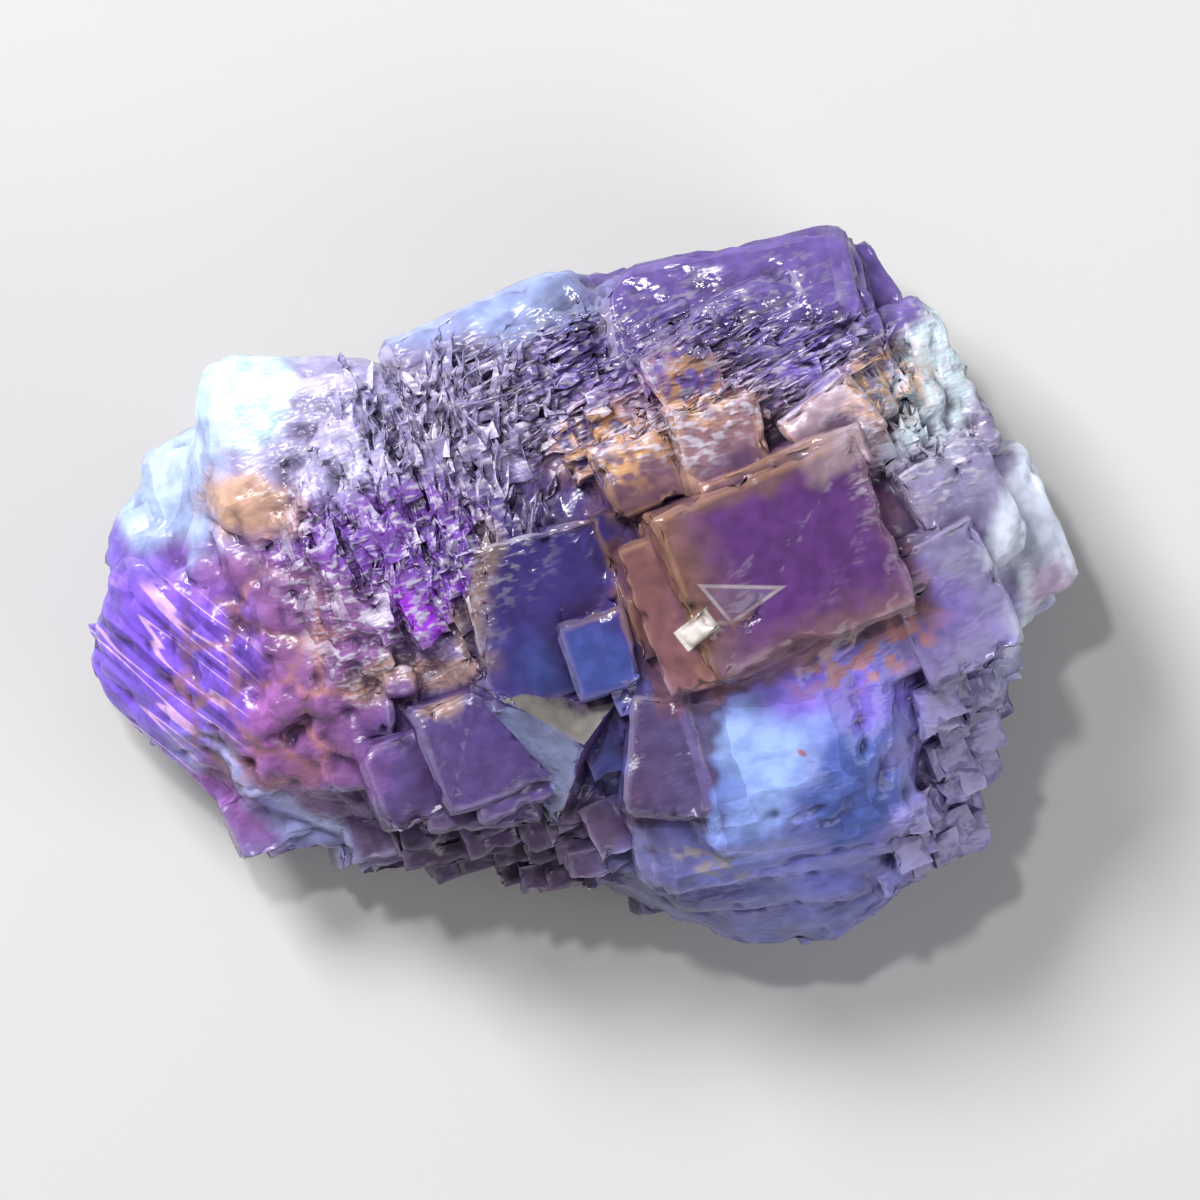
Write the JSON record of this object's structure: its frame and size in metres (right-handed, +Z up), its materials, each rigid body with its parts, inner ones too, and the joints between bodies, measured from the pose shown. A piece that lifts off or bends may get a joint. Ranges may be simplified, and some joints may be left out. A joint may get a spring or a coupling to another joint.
{
  "type": "mineral specimen",
  "caption": "Hand-sized cluster of purple and blue fluorite cubes grown into one another, lying on its flat broken back.",
  "frame": {"origin": "on the bed plane, under the middle of the cluster's plan", "axes": "+Z up, out of the display side, +X along the length towards the right-hand rim, +Y towards the high upper flank"},
  "size_m": [0.0649, 0.0463, 0.0296],
  "materials": {
    "purple_fluorite": "satin"
  },
  "bodies": {
    "root": {"fluorite_cluster": "purple_fluorite"}
  },
  "joints": []
}
